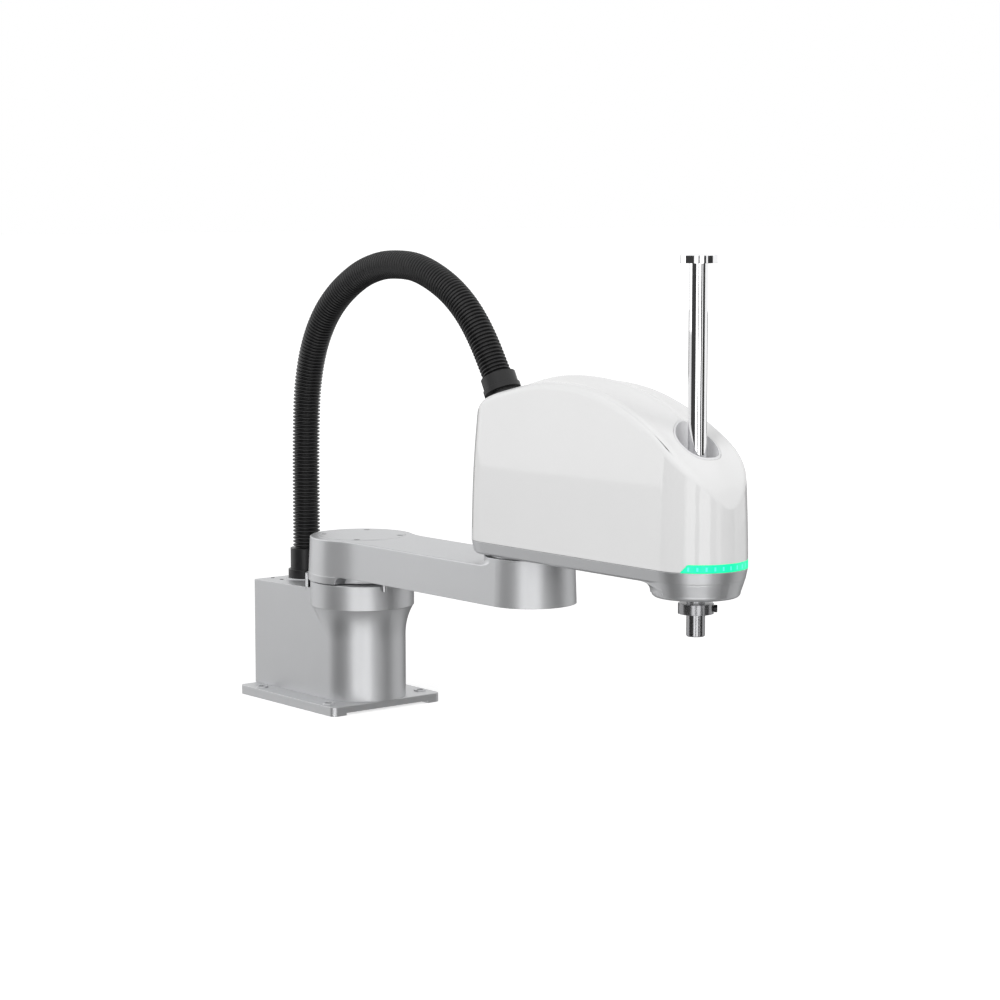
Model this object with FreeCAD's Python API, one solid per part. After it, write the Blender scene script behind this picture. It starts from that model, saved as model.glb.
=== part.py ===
import FreeCAD, Part
import math
import os

V = FreeCAD.Vector

# Four-axis horizontal jointed arm robot: a cast base with the first joint in its column, two
# horizontal arms and a ball-screw spline shaft that lifts, lowers and turns the tool.
# Millimetres. Origin on the axis of joint 1 at the foot plane, +X along the stretched arm, +Z up.

# Driving dimensions: reach, heights of the joints, clearances
arm1_length = 325.0
arm2_length = 275.0
ring_top = 156.0
seam = 1.2
skirt_h = 8.9
beam_h = 44.8
boss_h = 9.6
elbow_gap = 2.5
casting_h = 14.5
nose_drop = 17.0
fit = 0.05
wall_gap = 0.3
past = 1.0

# Driving dimensions: shaft and its collars
shaft_d = 20.0
shaft_below_nose = 43.0
shaft_top_z = 567.4
shaft_edge = 0.8
shaft_groove_w = 1.0
shaft_groove_depth = 0.3
collar_r = 20.0
top_collar_h = 9.0
top_collar_lip = 1.5
lower_collar_r = 19.0
lower_collar_h = 11.0
lower_collar_drop = 18.5
collar_screw_r = 2.5
collar_screw_head_r = 4.0
collar_screw_head_t = 3.4
collar_screw_angle = 42.0

# Driving dimensions: foot plate
plate_front = 51.5
plate_rear = -152.0
plate_half_w = 82.0
plate_t = 11.2
plate_corner_r = 7.0
foot_relief = 3.0
foot_rail_w = 20.0
foot_pad_r = 38.0
bolt_x_front = 25.0
bolt_x_rear = -119.0
bolt_half_y = 70.0
bolt_hole_r = 4.5
bolt_boss_r = 7.6
bolt_boss_h = 1.5

# Driving dimensions: base casting
column_r = 53.5
flare_z0 = 88.0
flare_arc_r = 74.0
ring_r = 64.2
ring_h = 31.4
ring_edge = 1.0
box_rear = -157.0
box_half_w = 56.0
box_corner_r = 3.0
box_top_rear = 143.2
box_top_front = 146.8
rim_t = 3.5
rim_h = 7.3
rim_half_angle = 51.0
box_wall = 7.0
bay_front = -96.0
bay_half_w = 40.0
bay_z0 = 58.0
bay_z1 = 136.5
duct_half_w = 20.0
duct_rise = 4.0
duct_h = 30.0
gland_pad_r = 26.0
gland_pad_z = 145.6
box_screw_r = 2.2
box_screw_l = 6.0
box_screw_head = 0.4
box_screw_places = [(-149.0, 32.0), (-149.0, -32.0), (-127.5, 33.0), (-127.5, -33.0)]

# Driving dimensions: rear panel and its connectors
panel_half_w = 43.0
panel_margin = 3.0
panel_t = 2.0
panel_window_half_w = 36.0
panel_window_margin = 6.0
panel_screw_r = 2.2
panel_screw_head = 1.4
panel_screw_in = 3.3
panel_screw_rise = 7.0
connector_tail = 8.0
power_shell_r = 10.0
power_neck_r = 8.0
power_reach = 12.0
power_socket_depth = 10.0
power_rim = 1.8
power_drop = 20.5
signal_half_w = 19.0
signal_half_h = 6.0
signal_drop = 40.5
user_half_w = 14.0
user_half_h = 5.5
user_drop = 55.5
plug_reach = 3.5
plug_depth = 2.5
plug_neck_in = 3.0
plug_neck_down = 1.5
plug_rim_side = 4.5
plug_rim_top = 2.6
air_r = 4.8
air_neck_r = 3.4
air_bore_r = 2.1
air_reach = 13.0
air_rise = 11.0
air_y = 14.0

# Driving dimensions: joint 1 drive
motor_side = 60.0
motor_corner_r = 5.0
motor_pocket_gap = 0.5
motor_shaft_r = 7.0
j1_motor_z0 = 40.0
j1_motor_l = 78.0
pilot_r = 25.0
pilot_h = 5.0
j1_floor_t = 10.0
j1_reducer_down = 4.0
j1_reducer_r = 40.0
j1_hub_r = 30.0
hub_floor_gap = 6.0

# Driving dimensions: arm 1
arm1_end_r = 64.0
arm1_end_r_low = 66.4
arm1_tip_r = 51.7
arm1_tip_r_low = 53.2
arm1_neck_arc_r = 100.0
arm1_skirt_front = 26.0
arm1_skirt_step = 0.2
arm1_hub_r = 52.0
arm1_cable_r = 15.0
arm1_edge = 1.0
boss_r = 52.6
boss_fillet = 6.4
cap_r = 53.5
cap_recess_depth = 4.4
cap_t = 4.9
cap_edge = 0.6
cap_screw_x = 35.0
cap_screw_y = 33.0
cap_screw_depth = 2.6
screw_head_r = 4.3
stop_pin_r = 3.2
stop_pin_angle = 13.5
stop_pin_drop = 6.7
stop_pin_grip = 20.0
rib_t = 6.0
arm1_wall = 8.0
arm1_deck = 7.0
pocket_start = 78.0
pocket_end_gap = 61.0
pocket_corner_r = 5.0

# Driving dimensions: joint 2 drive and stops
j2_reducer_r = 40.0
j2_reducer_l = 30.5
j2_hub_r = 29.0
j2_flange_r = 46.0
j2_stop_radius = 49.3
j2_stop_r = 2.5
j2_stop_grip = 8.0
j2_stop_under = 0.7
lug_gap = 0.8
lug_r1 = 79.0
lug_half_w = 24.0
j2_motor_l = 102.0

# Driving dimensions: arm 2 casting
arm2_half_w = 55.0
arm2_rear_overhang = 65.6
arm2_rear_corner_r = 42.0
casting_draft = 3.2
casting_edge = 2.4
nose_r = 47.5
nose_cone_r = 51.5
nose_round = 5.0
nose_flare_r = 12.0
nose_flare_out = 1.2
seal_r = 26.0
seal_depth = 8.0
seal_t = 5.6
seal_step = 0.4
bearing_r = 32.0
cover_screw_r = 3.4
cover_screw_t = 2.7
cover_screw_depth = 3.0
cover_screw_y = 43.5
cover_screw_rear = 22.0
cover_screw_front = 58.0

# Driving dimensions: status light and cover
cover_seam = 0.4
strip_h = 8.3
strip_t = 3.0
strip_angle_low = 61.0
strip_angle_top = 53.0
cover_t = 3.0
cover_edge_r = 9.0
cover_edge_above = 52.0
# Inset of the wall from the plan, with its height over the casting
cover_wall = [(0.7, 37.5), (2.2, 80.5), (4.9, 122.5), (8.5, 162.5), (12.0, 197.5)]
# The top's long section: distance from the axis of joint 2, then of the shaft, with the height over
# the casting
cover_ridge_rear = [(-75.0, 84.5), (-63.0, 121.0), (-57.0, 138.0), (-41.0, 156.5), (7.0, 175.5),
                    (55.0, 185.8)]
cover_ridge_front = [(-168.0, 188.0), (-109.0, 181.0), (-51.0, 161.5), (-10.0, 140.0), (22.0, 115.5),
                     (42.0, 93.5), (55.0, 59.5), (62.0, 24.5)]
crown_half_w = 63.0
ridge_y = 43.0
valley_y = 31.0
valley_depth = 1.6
crown_rise = 5.2
crown_from = -68.0
crown_run = 60.0
steep_rear = 35.0
steep_front = 40.0
shoulder_drop = 9.0
well_r = 25.3
well_bore_r = 23.0
well_floor_h = 112.5
well_floor_t = 2.0
well_floor_hole_r = 12.0
well_top_h = 212.5

# Driving dimensions: conduit and its glands
conduit_r = 16.5
gland_bore_r = 14.0
gland_neck_t = 2.8
gland_wall = 3.7
gland_socket_depth = 12.0
gland_flange_r = 23.3
gland_flange_t = 10.4
gland_top_z = 183.0
gland_nut_t = 6.0
gland_nut_r = 22.0
gland_thread_l = 9.0
arm_gland_l = 20.0
arm_gland_flange = 1.4
arm_gland_flange_t = 6.0
arm_gland_neck_l = 16.0

# Driving dimensions: drives inside arm 2
bracket_rise = 62.5
bracket_t = 6.0
bracket_half_w = 40.0
bracket_corner_r = 16.0
bracket_rear = 33.0
bracket_front = 30.0
bracket_post_r = 4.0
bracket_post_y = 36.0
bracket_post_rear = 25.0
bracket_post_front = 40.0
z_motor_offset = 100.0
z_motor_foot = 3.5
z_motor_pilot_r = 19.0
j4_belt_reach = 95.0
j4_motor_side = 40.0
j4_motor_l = 82.0
j4_motor_pilot_r = 11.0
pilot_step = 1.0
axle_r = 4.0
axle_out = 2.0
pulley_w = 12.0
pulley_flange = 1.5
pulley_flange_t = 1.0
belt_t = 1.6
belt_side_gap = 0.3
z_pulley_r = 24.0
z_pulley_rise = 8.0
spline_pulley_r = 27.0
j4_pulley_r = 13.5
j4_pulley_rise = 26.5
ball_nut_r = 20.0
ball_nut_gap = 8.0
ball_nut_top = 4.0
ball_bearing_wall = 8.0
ball_bearing_below = 8.0
ball_bearing_above = 3.0
spline_nut_r = 24.0
spline_nut_l = 47.0
spline_neck_r = 16.0
spline_neck_over = 2.0
bearing_step = 1.0

# Places that follow from them
j3_x = arm1_length + arm2_length
shaft_r = shaft_d / 2
arm1_bottom = ring_top + seam
arm1_beam_z0 = arm1_bottom + skirt_h
arm1_z1 = arm1_beam_z0 + beam_h
boss_z1 = arm1_z1 + boss_h
casting_z0 = boss_z1 + elbow_gap
casting_z1 = casting_z0 + casting_h
nose_z0 = casting_z0 - nose_drop
cover_foot = casting_z1 + cover_seam
reducer_floor_z = j1_motor_z0 + j1_motor_l
j1_reducer_z0 = reducer_floor_z + j1_floor_t
gland_neck_r = gland_bore_r + gland_neck_t
gland_sleeve_r = conduit_r + wall_gap + gland_wall

os.makedirs("parts", exist_ok=True)


def save(name, shape):
    shape.exportStep("parts/" + name + ".step")


def cyl(r, z0, z1, x=0.0, y=0.0):
    return Part.makeCylinder(r, z1 - z0, V(x, y, z0))


def tube(ro, ri, z0, z1, x=0.0, y=0.0):
    return cyl(ro, z0, z1, x, y).cut(cyl(ri, z0 - past, z1 + past, x, y))


def slab(x0, x1, y0, y1, z0, z1):
    return Part.makeBox(x1 - x0, y1 - y0, z1 - z0, V(x0, y0, z0))


def rounded_slab(x0, x1, y0, y1, z0, z1, r):
    body = slab(x0, x1, y0, y1, z0, z1)
    upright = [e for e in body.Edges if abs(e.Vertexes[0].Z - e.Vertexes[1].Z) > past]
    return body.makeFillet(r, upright)


def outline(start, *steps, at=lambda a, b: V(a, 0, b)):
    """Closed wire from (a, b) points; a step of two points is an arc through the first of them."""
    edges = []
    here = start
    last = steps[-1][-1] if isinstance(steps[-1][0], tuple) else steps[-1]
    for step in steps if last == start else steps + (start,):
        if isinstance(step[0], tuple):
            middle, end = step
            edges.append(Part.Arc(at(*here), at(*middle), at(*end)).toShape())
        else:
            end = step
            edges.append(Part.LineSegment(at(*here), at(*end)).toShape())
        here = end
    return Part.Wire(edges)


def quarter(centre_a, centre_b, r, toward_a, toward_b):
    """Middle point of the quarter arc of radius r that bulges from its centre toward a and b."""
    return centre_a + toward_a * r * math.sqrt(0.5), centre_b + toward_b * r * math.sqrt(0.5)


def turned(profile, x=0.0, y=0.0):
    """Solid of revolution of an outline in (radius, height) about the vertical line at x, y."""
    body = Part.Face(profile).revolve(V(0, 0, 0), V(0, 0, 1), 360)
    body.translate(V(x, y, 0))
    return body


def flat_wire(z):
    return lambda a, b: V(a, b, z)


def fuse_all(shapes):
    whole = shapes[0]
    for shape in shapes[1:]:
        whole = whole.fuse(shape)
    return whole.removeSplitter()


def each_at(places, make):
    return Part.makeCompound([make(x, y) for x, y in places])


def along_x(r, x0, x1, y, z):
    return Part.makeCylinder(r, x1 - x0, V(x0, y, z), V(1, 0, 0))


def tangent_touch(r, px, py):
    """Point where a line from (px, py) touches the circle of radius r about the origin, py side."""
    far = math.hypot(px, py)
    angle = math.atan2(py, px) - math.copysign(math.acos(r / far), py)
    return r * math.cos(angle), r * math.sin(angle)


# Foot plate: relieved underneath between two rails, with a raised face round each bolt hole
def base_plate():
    plate = rounded_slab(plate_rear, plate_front, -plate_half_w, plate_half_w, 0, plate_t, plate_corner_r)
    rail_y = plate_half_w - foot_rail_w
    plate = plate.cut(slab(plate_rear - past, plate_front + past, -rail_y, rail_y, -past, foot_relief))
    plate = plate.fuse(cyl(foot_pad_r, 0, plate_t))
    for x in (bolt_x_rear, bolt_x_front):
        for y in (-bolt_half_y, bolt_half_y):
            plate = plate.fuse(cyl(bolt_boss_r, foot_relief, plate_t + bolt_boss_h, x, y))
            plate = plate.cut(cyl(bolt_hole_r, -past, plate_t + bolt_boss_h + past, x, y))
    return plate.removeSplitter()


save("base_plate", base_plate())


# Base casting: connector box and column in one piece, closed inside except for the motor pocket,
# the reducer seat and the cable bay behind the rear panel
def box_top(x):
    return box_top_front + (box_top_front - box_top_rear) * x / -box_rear


def column():
    ring_z0 = ring_top - ring_h
    flare_z1 = ring_z0 - ring_edge / 2

    def flare(z):
        return column_r + flare_arc_r - math.sqrt(flare_arc_r ** 2 - (z - flare_z0) ** 2)

    half = (flare_z0 + flare_z1) / 2
    return turned(outline(
        (0, plate_t), (column_r, plate_t), (column_r, flare_z0),
        ((flare(half), half), (flare(flare_z1), flare_z1)),
        (ring_r - ring_edge, ring_z0), (ring_r, ring_z0 + ring_edge), (ring_r, ring_top - ring_edge),
        (ring_r - ring_edge, ring_top), (0, ring_top)))


def connector_box():
    touch_x, touch_y = tangent_touch(column_r, box_rear, box_half_w)
    sides = outline((box_rear, -box_half_w), (touch_x, -touch_y), (touch_x, touch_y), (box_rear, box_half_w),
                    at=flat_wire(plate_t))
    block = Part.Face(sides).extrude(V(0, 0, ring_top - plate_t))
    corners = [e for e in block.Edges if abs(e.Vertexes[0].Z - e.Vertexes[1].Z) > past and
               abs(e.Vertexes[0].X - box_rear) < fit]
    block = block.makeFillet(box_corner_r, corners)
    slope = outline((box_rear - past, 0), (box_rear - past, box_top(box_rear)), (touch_x, box_top(touch_x)),
                    (touch_x, 0), at=lambda a, b: V(a, -box_half_w - past, b))
    return block.common(Part.Face(slope).extrude(V(0, 2 * (box_half_w + past), 0)))


rim_inner_r = arm1_end_r_low + 0.5


def stop_rim():
    foot = box_top(-rim_inner_r) - box_screw_l / 2
    top = ring_top + rim_h
    sector = Part.makeCylinder(rim_inner_r + rim_t, top - foot, V(0, 0, foot), V(0, 0, 1), 2 * rim_half_angle)
    sector = sector.cut(cyl(rim_inner_r, foot - past, top + past))
    sector.rotate(V(0, 0, 0), V(0, 0, 1), 180 - rim_half_angle)
    return sector


def base_casting():
    body = fuse_all([column(), connector_box(), stop_rim(),
                     cyl(gland_pad_r, box_top_rear - box_screw_l, gland_pad_z, bolt_x_rear)])
    pocket = motor_side / 2 + motor_pocket_gap
    body = body.cut(slab(-pocket, pocket, -pocket, pocket, j1_motor_z0, reducer_floor_z))
    body = body.cut(cyl(pilot_r + fit, reducer_floor_z - past, j1_reducer_z0 + past))
    body = body.cut(cyl(j1_reducer_r + fit, j1_reducer_z0, ring_top + past))
    duct_z0 = bay_z0 + duct_rise
    body = body.cut(slab(bay_front - box_wall, 0, -duct_half_w, duct_half_w, duct_z0, duct_z0 + duct_h))
    inner_rear = box_rear + box_wall
    body = body.cut(slab(inner_rear, bay_front, -bay_half_w, bay_half_w, bay_z0, bay_z1))
    body = body.cut(slab(box_rear - past, inner_rear + past, -panel_window_half_w, panel_window_half_w,
                         bay_z0 + panel_window_margin, bay_z1 - panel_window_margin))
    body = body.cut(slab(box_rear - past, box_rear + panel_t, -panel_half_w - wall_gap, panel_half_w + wall_gap,
                         bay_z0 + panel_margin - wall_gap, bay_z1 - panel_margin + wall_gap))
    body = body.cut(cyl(gland_neck_r + wall_gap, bay_z1 - past, ring_top, bolt_x_rear))
    for x, y in box_screw_places:
        body = body.cut(cyl(box_screw_r + fit, box_top(x) - box_screw_l, ring_top, x, y))
    return body


save("base_casting", base_casting())
save("box_top_screws", each_at(box_screw_places, lambda x, y: cyl(
    box_screw_r, box_top(x) - box_screw_l, box_top(x) + box_screw_head, x, y)))

# Rear panel with its connectors and air fittings
panel_inside = box_rear + panel_t
tail_x = panel_inside + connector_tail
power_z = bay_z1 - power_drop
air_z = bay_z0 + air_rise


def plug_neck(half_w, half_h, z, gap):
    y = half_w - plug_neck_in + gap
    h = half_h - plug_neck_down + gap
    return slab(box_rear, tail_x, -y, y, z - h, z + h)


def plug(half_w, half_h, z):
    """Flat connector: flanged shell outside the panel, neck through it."""
    shell = slab(box_rear - plug_reach, box_rear, -half_w, half_w, z - half_h, z + half_h)
    y = half_w - plug_rim_side
    h = half_h - plug_rim_top
    well = slab(box_rear - plug_reach - past, box_rear - plug_reach + plug_depth, -y, y, z - h, z + h)
    return shell.fuse(plug_neck(half_w, half_h, z, 0)).cut(well)


def air_fitting(y):
    body = along_x(air_r, box_rear - air_reach, box_rear, y, air_z).fuse(
        along_x(air_neck_r, box_rear, tail_x, y, air_z))
    return body.cut(along_x(air_bore_r, box_rear - air_reach - past, tail_x + past, y, air_z))


plugs = {"signal_connector": (signal_half_w, signal_half_h, bay_z1 - signal_drop),
         "user_connector": (user_half_w, user_half_h, bay_z1 - user_drop)}
panel = slab(box_rear, panel_inside, -panel_half_w, panel_half_w, bay_z0 + panel_margin, bay_z1 - panel_margin)
panel = panel.cut(along_x(power_neck_r + fit, box_rear - past, panel_inside + past, 0, power_z))
for node, size in plugs.items():
    save(node, plug(*size))
    panel = panel.cut(plug_neck(*size, fit))
for y in (-air_y, air_y):
    panel = panel.cut(along_x(air_neck_r + fit, box_rear - past, panel_inside + past, y, air_z))
save("rear_panel", panel)
power = along_x(power_shell_r, box_rear - power_reach, box_rear, 0, power_z)
power = power.fuse(along_x(power_neck_r, box_rear, tail_x, 0, power_z))
power_end = box_rear - power_reach
save("power_connector", power.cut(along_x(
    power_shell_r - power_rim, power_end - past, power_end + power_socket_depth, 0, power_z)))
save("air_fittings", Part.makeCompound([air_fitting(-air_y), air_fitting(air_y)]))
panel_screw_y = panel_half_w - panel_screw_in
save("panel_screws", Part.makeCompound([
    along_x(panel_screw_r, box_rear - panel_screw_head, box_rear, y, z)
    for y in (-panel_screw_y, panel_screw_y) for z in (bay_z0 + panel_screw_rise, bay_z1 - panel_screw_rise)]))

# Base gland: flange on the machined pad, sleeve with a socket for the conduit, neck and nut inside
gland = cyl(gland_flange_r, gland_pad_z, gland_pad_z + gland_flange_t, bolt_x_rear)
gland = gland.fuse(cyl(gland_sleeve_r, gland_pad_z, gland_top_z, bolt_x_rear))
gland = gland.fuse(cyl(gland_neck_r, bay_z1 - gland_thread_l, gland_pad_z + past, bolt_x_rear))
gland = gland.cut(cyl(conduit_r + wall_gap, gland_top_z - gland_socket_depth, gland_top_z + past, bolt_x_rear))
gland = gland.cut(cyl(gland_bore_r, bay_z1 - gland_thread_l - past, gland_top_z, bolt_x_rear)).removeSplitter()
save("base_gland", gland)
corners = [V(bolt_x_rear + gland_nut_r * math.cos(math.radians(a)), gland_nut_r * math.sin(math.radians(a)),
             bay_z1 - gland_nut_t) for a in range(0, 361, 60)]
nut = Part.Face(Part.makePolygon(corners)).extrude(V(0, 0, gland_nut_t))
save("base_gland_nut", nut.cut(cyl(
    gland_neck_r + fit, bay_z1 - gland_nut_t - past, bay_z1 + past, bolt_x_rear)))


# Joint 1 drive: motor under the floor, reducer housing above it, output hub carried by arm 1
def motor(x, side, z0, z1, face_up, pilot, pilot_z, shaft, shaft_z):
    body = rounded_slab(x - side / 2, x + side / 2, -side / 2, side / 2, z0, z1, motor_corner_r)
    face = z1 if face_up else z0
    body = body.fuse(cyl(pilot, min(face, pilot_z), max(face, pilot_z), x))
    return body.fuse(cyl(shaft, min(face, shaft_z), max(face, shaft_z), x)).removeSplitter()


j1_reducer_z1 = ring_top - j1_reducer_down
save("j1_motor", motor(0, motor_side, j1_motor_z0, reducer_floor_z, True, pilot_r, reducer_floor_z + pilot_h,
                       motor_shaft_r, j1_reducer_z0 + hub_floor_gap / 2))
save("j1_reducer_housing", tube(j1_reducer_r, j1_hub_r + wall_gap, j1_reducer_z0, j1_reducer_z1))
save("j1_output_hub", cyl(j1_hub_r, j1_reducer_z0 + hub_floor_gap, arm1_bottom))


# Arm 1: drafted beam with a round end at each joint, drawn in to the beam by a concave arc
def arm1_plan(end_r, tip_r, z):
    centre_y = tip_r + arm1_neck_arc_r
    reach = end_r + arm1_neck_arc_r
    centre_x = math.sqrt(reach ** 2 - centre_y ** 2)
    touch_x = centre_x * end_r / reach
    touch_y = centre_y * end_r / reach
    lean_x = -centre_x / reach
    lean_y = -centre_y / reach - 1
    size = math.hypot(lean_x, lean_y)
    mid_x = centre_x + arm1_neck_arc_r * lean_x / size
    mid_y = centre_y + arm1_neck_arc_r * lean_y / size
    return outline((touch_x, touch_y), ((-end_r, 0), (touch_x, -touch_y)),
                   ((mid_x, -mid_y), (centre_x, -tip_r)),
                   (arm1_length, -tip_r), ((arm1_length + tip_r, 0), (arm1_length, tip_r)), (centre_x, tip_r),
                   ((mid_x, mid_y), (touch_x, touch_y)), at=flat_wire(z))


def arm1_section(z):
    share = (z - arm1_beam_z0) / beam_h
    end_low = arm1_end_r_low - arm1_skirt_step
    return arm1_plan(end_low + (arm1_end_r - end_low) * share,
                     arm1_tip_r_low + (arm1_tip_r - arm1_tip_r_low) * share, z)


stop_pin_radius = ring_r + wall_gap + stop_pin_r + past
pin_places = [(stop_pin_radius * math.cos(math.radians(a)), stop_pin_radius * math.sin(math.radians(a)))
              for a in (-stop_pin_angle, stop_pin_angle)]
pin_z1 = arm1_beam_z0 + stop_pin_grip
cap_screw_places = [(x, y) for x in (-cap_screw_x, cap_screw_x) for y in (-cap_screw_y, cap_screw_y)]
cap_seat_z = arm1_z1 - cap_screw_depth
j2_stop_x = arm1_length - j2_stop_radius
j2_stop_z0 = boss_z1 - j2_stop_grip


def arm1_skirt():
    """Lower edge of the joint 1 end, cut away to the front in a quarter round."""
    side = arm1_end_r_low + past
    cut = outline((arm1_skirt_front, arm1_bottom - past), (arm1_skirt_front, arm1_bottom),
                  (quarter(arm1_skirt_front + skirt_h, arm1_bottom, skirt_h, -1, 1),
                   (arm1_skirt_front + skirt_h, arm1_beam_z0)),
                  (arm1_skirt_front + skirt_h, arm1_beam_z0 + past), (side, arm1_beam_z0 + past),
                  (side, arm1_bottom - past), at=lambda a, b: V(a, -side, b))
    ring = cyl(arm1_end_r_low, arm1_bottom, arm1_beam_z0 + fit)
    return ring.cut(Part.Face(cut).extrude(V(0, 2 * side, 0)))


def arm1_above_deck():
    """What is cut from over the beam to leave the boss of joint 2 with its hollow-rounded foot."""
    boss = turned(outline((0, arm1_z1), (boss_r + boss_fillet, arm1_z1),
                          (quarter(boss_r + boss_fillet, arm1_z1 + boss_fillet, boss_fillet, -1, -1),
                           (boss_r, arm1_z1 + boss_fillet)), (boss_r, boss_z1 + past), (0, boss_z1 + past)),
                  arm1_length)
    side = arm1_end_r + past
    return slab(-side, arm1_length + side, -side, side, arm1_z1, boss_z1 + past / 2).cut(boss)


def arm1():
    beam = Part.makeLoft([arm1_section(arm1_beam_z0), arm1_section(boss_z1)], True, True)
    beam = beam.cut(arm1_above_deck())
    rim = [e for e in beam.Edges if e.BoundBox.ZMin > arm1_z1 - fit and e.BoundBox.ZMax < arm1_z1 + fit
           and e.BoundBox.XMin < arm1_length - boss_r - 2 * boss_fillet]
    beam = beam.makeChamfer(arm1_edge, rim)
    body = fuse_all([beam, arm1_skirt(), cyl(arm1_hub_r, arm1_bottom, arm1_beam_z0 + past)])
    body = body.cut(cyl(cap_r + wall_gap, arm1_z1 - cap_recess_depth, arm1_z1 + past))
    body = body.cut(cyl(arm1_cable_r, arm1_bottom - past, arm1_z1))
    body = body.cut(cyl(j2_reducer_r + fit, boss_z1 - j2_reducer_l, boss_z1 + past, arm1_length))
    for x, y in pin_places:
        body = body.cut(cyl(stop_pin_r + fit, arm1_beam_z0 - past, pin_z1, x, y))
    cell = (arm1_length - pocket_end_gap - pocket_start - 2 * rib_t) / 3
    for i in range(3):
        x = pocket_start + i * (cell + rib_t)
        for y0, y1 in ((rib_t / 2, arm1_tip_r - arm1_wall), (arm1_wall - arm1_tip_r, -rib_t / 2)):
            body = body.cut(rounded_slab(x, x + cell, y0, y1, arm1_beam_z0 - past, arm1_z1 - arm1_deck,
                                         pocket_corner_r))
    return body.cut(cyl(j2_stop_r + fit, j2_stop_z0, boss_z1 + past, j2_stop_x))


def arm1_cap():
    top = arm1_z1 - cap_recess_depth + cap_t
    cap = cyl(cap_r, arm1_z1 - cap_recess_depth, top)
    cap = cap.makeChamfer(cap_edge, [e for e in cap.Edges if abs(e.CenterOfMass.z - top) < fit])
    for x, y in cap_screw_places:
        cap = cap.cut(cyl(screw_head_r + fit, cap_seat_z, arm1_z1 + past, x, y))
    return cap


save("arm_1", arm1())
save("arm1_cap", arm1_cap())
save("arm1_cap_screws", each_at(cap_screw_places, lambda x, y: cyl(screw_head_r, cap_seat_z, arm1_z1, x, y)))
save("j1_stop_pins", each_at(pin_places, lambda x, y: cyl(stop_pin_r, ring_top - stop_pin_drop, pin_z1, x, y)))
j2_reducer_z0 = boss_z1 - j2_reducer_l
save("j2_reducer_housing", tube(j2_reducer_r, j2_hub_r + wall_gap, j2_reducer_z0, boss_z1, arm1_length))
save("j2_stop_pin", cyl(j2_stop_r, j2_stop_z0, casting_z0 - j2_stop_under, j2_stop_x))


# Arm 2 casting: flat deck with drafted edges and a round nose boss that carries the spline nut
def arm2_plan(inset, z):
    w = arm2_half_w - inset
    rear = arm1_length - arm2_rear_overhang + inset
    corner = arm2_rear_corner_r - inset
    flat = w - corner
    return outline((rear + corner, w), (quarter(rear + corner, flat, corner, -1, 1), (rear, flat)),
                   (rear, -flat), (quarter(rear + corner, -flat, corner, -1, -1), (rear + corner, -w)), (j3_x, -w),
                   ((j3_x + w, 0), (j3_x, w)), at=flat_wire(z))


cover_screw_places = [(x, y) for x in (arm1_length - cover_screw_rear, (arm1_length + j3_x) / 2,
                                       j3_x - cover_screw_front) for y in (-cover_screw_y, cover_screw_y)]


def arm2_casting():
    inset = casting_draft * (casting_h - casting_edge) / casting_h
    deck = Part.makeLoft([arm2_plan(inset + casting_edge, casting_z0),
                          arm2_plan(inset, casting_z0 + casting_edge), arm2_plan(0, casting_z1)], True, True)
    nose = turned(outline(
        (0, nose_z0), (nose_r - nose_round, nose_z0),
        (quarter(nose_r - nose_round, nose_z0 + nose_round, nose_round, 1, -1), (nose_r, nose_z0 + nose_round)),
        (nose_cone_r, casting_z0), (arm2_half_w, casting_z1), (0, casting_z1)), j3_x)
    foot = nose_r + nose_flare_out
    low = casting_z0 - nose_flare_r
    flare = turned(outline(
        (0, low), (foot, low), (quarter(foot + nose_flare_r, low, nose_flare_r, -1, 1),
                                (foot + nose_flare_r, casting_z0)),
        (foot + nose_flare_r, casting_z0 + past), (0, casting_z0 + past)), j3_x)
    under = Part.Face(arm2_plan(inset + casting_edge, nose_z0)).extrude(V(0, 0, nose_drop + 2 * past))
    flare = flare.common(under).common(slab(arm1_length, j3_x, -arm2_half_w, arm2_half_w, 0, casting_z1))
    lug_z0 = boss_z1 + lug_gap
    lug = cyl(lug_r1, lug_z0, casting_z0 + past, arm1_length).cut(cyl(
        j2_flange_r + wall_gap, 0, casting_z1, arm1_length))
    lug = lug.common(slab(arm1_length, j3_x, -lug_half_w, lug_half_w, lug_z0, casting_z0 + past))
    body = fuse_all([deck, nose, flare, lug])
    body = body.cut(cyl(seal_r + fit, nose_z0 - past, nose_z0 + seal_depth, j3_x))
    body = body.cut(cyl(bearing_r + fit, nose_z0 + seal_depth - past, casting_z1 + past, j3_x))
    for x, y in cover_screw_places:
        body = body.cut(cyl(cover_screw_r + fit, casting_z0 - past, casting_z0 + cover_screw_depth, x, y))
    return body.cut(cyl(pilot_r + fit, casting_z1 - pilot_h, casting_z1 + past, arm1_length))


save("arm_2_casting", arm2_casting())
save("cover_screws", each_at(cover_screw_places, lambda x, y: cyl(
    cover_screw_r, casting_z0 + cover_screw_depth - cover_screw_t, casting_z0 + cover_screw_depth, x, y)))
save("j2_output_hub", cyl(j2_hub_r, j2_reducer_z0 + hub_floor_gap, boss_z1 + past, arm1_length).fuse(
    cyl(j2_flange_r, boss_z1 + wall_gap, casting_z0, arm1_length)).removeSplitter())


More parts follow.
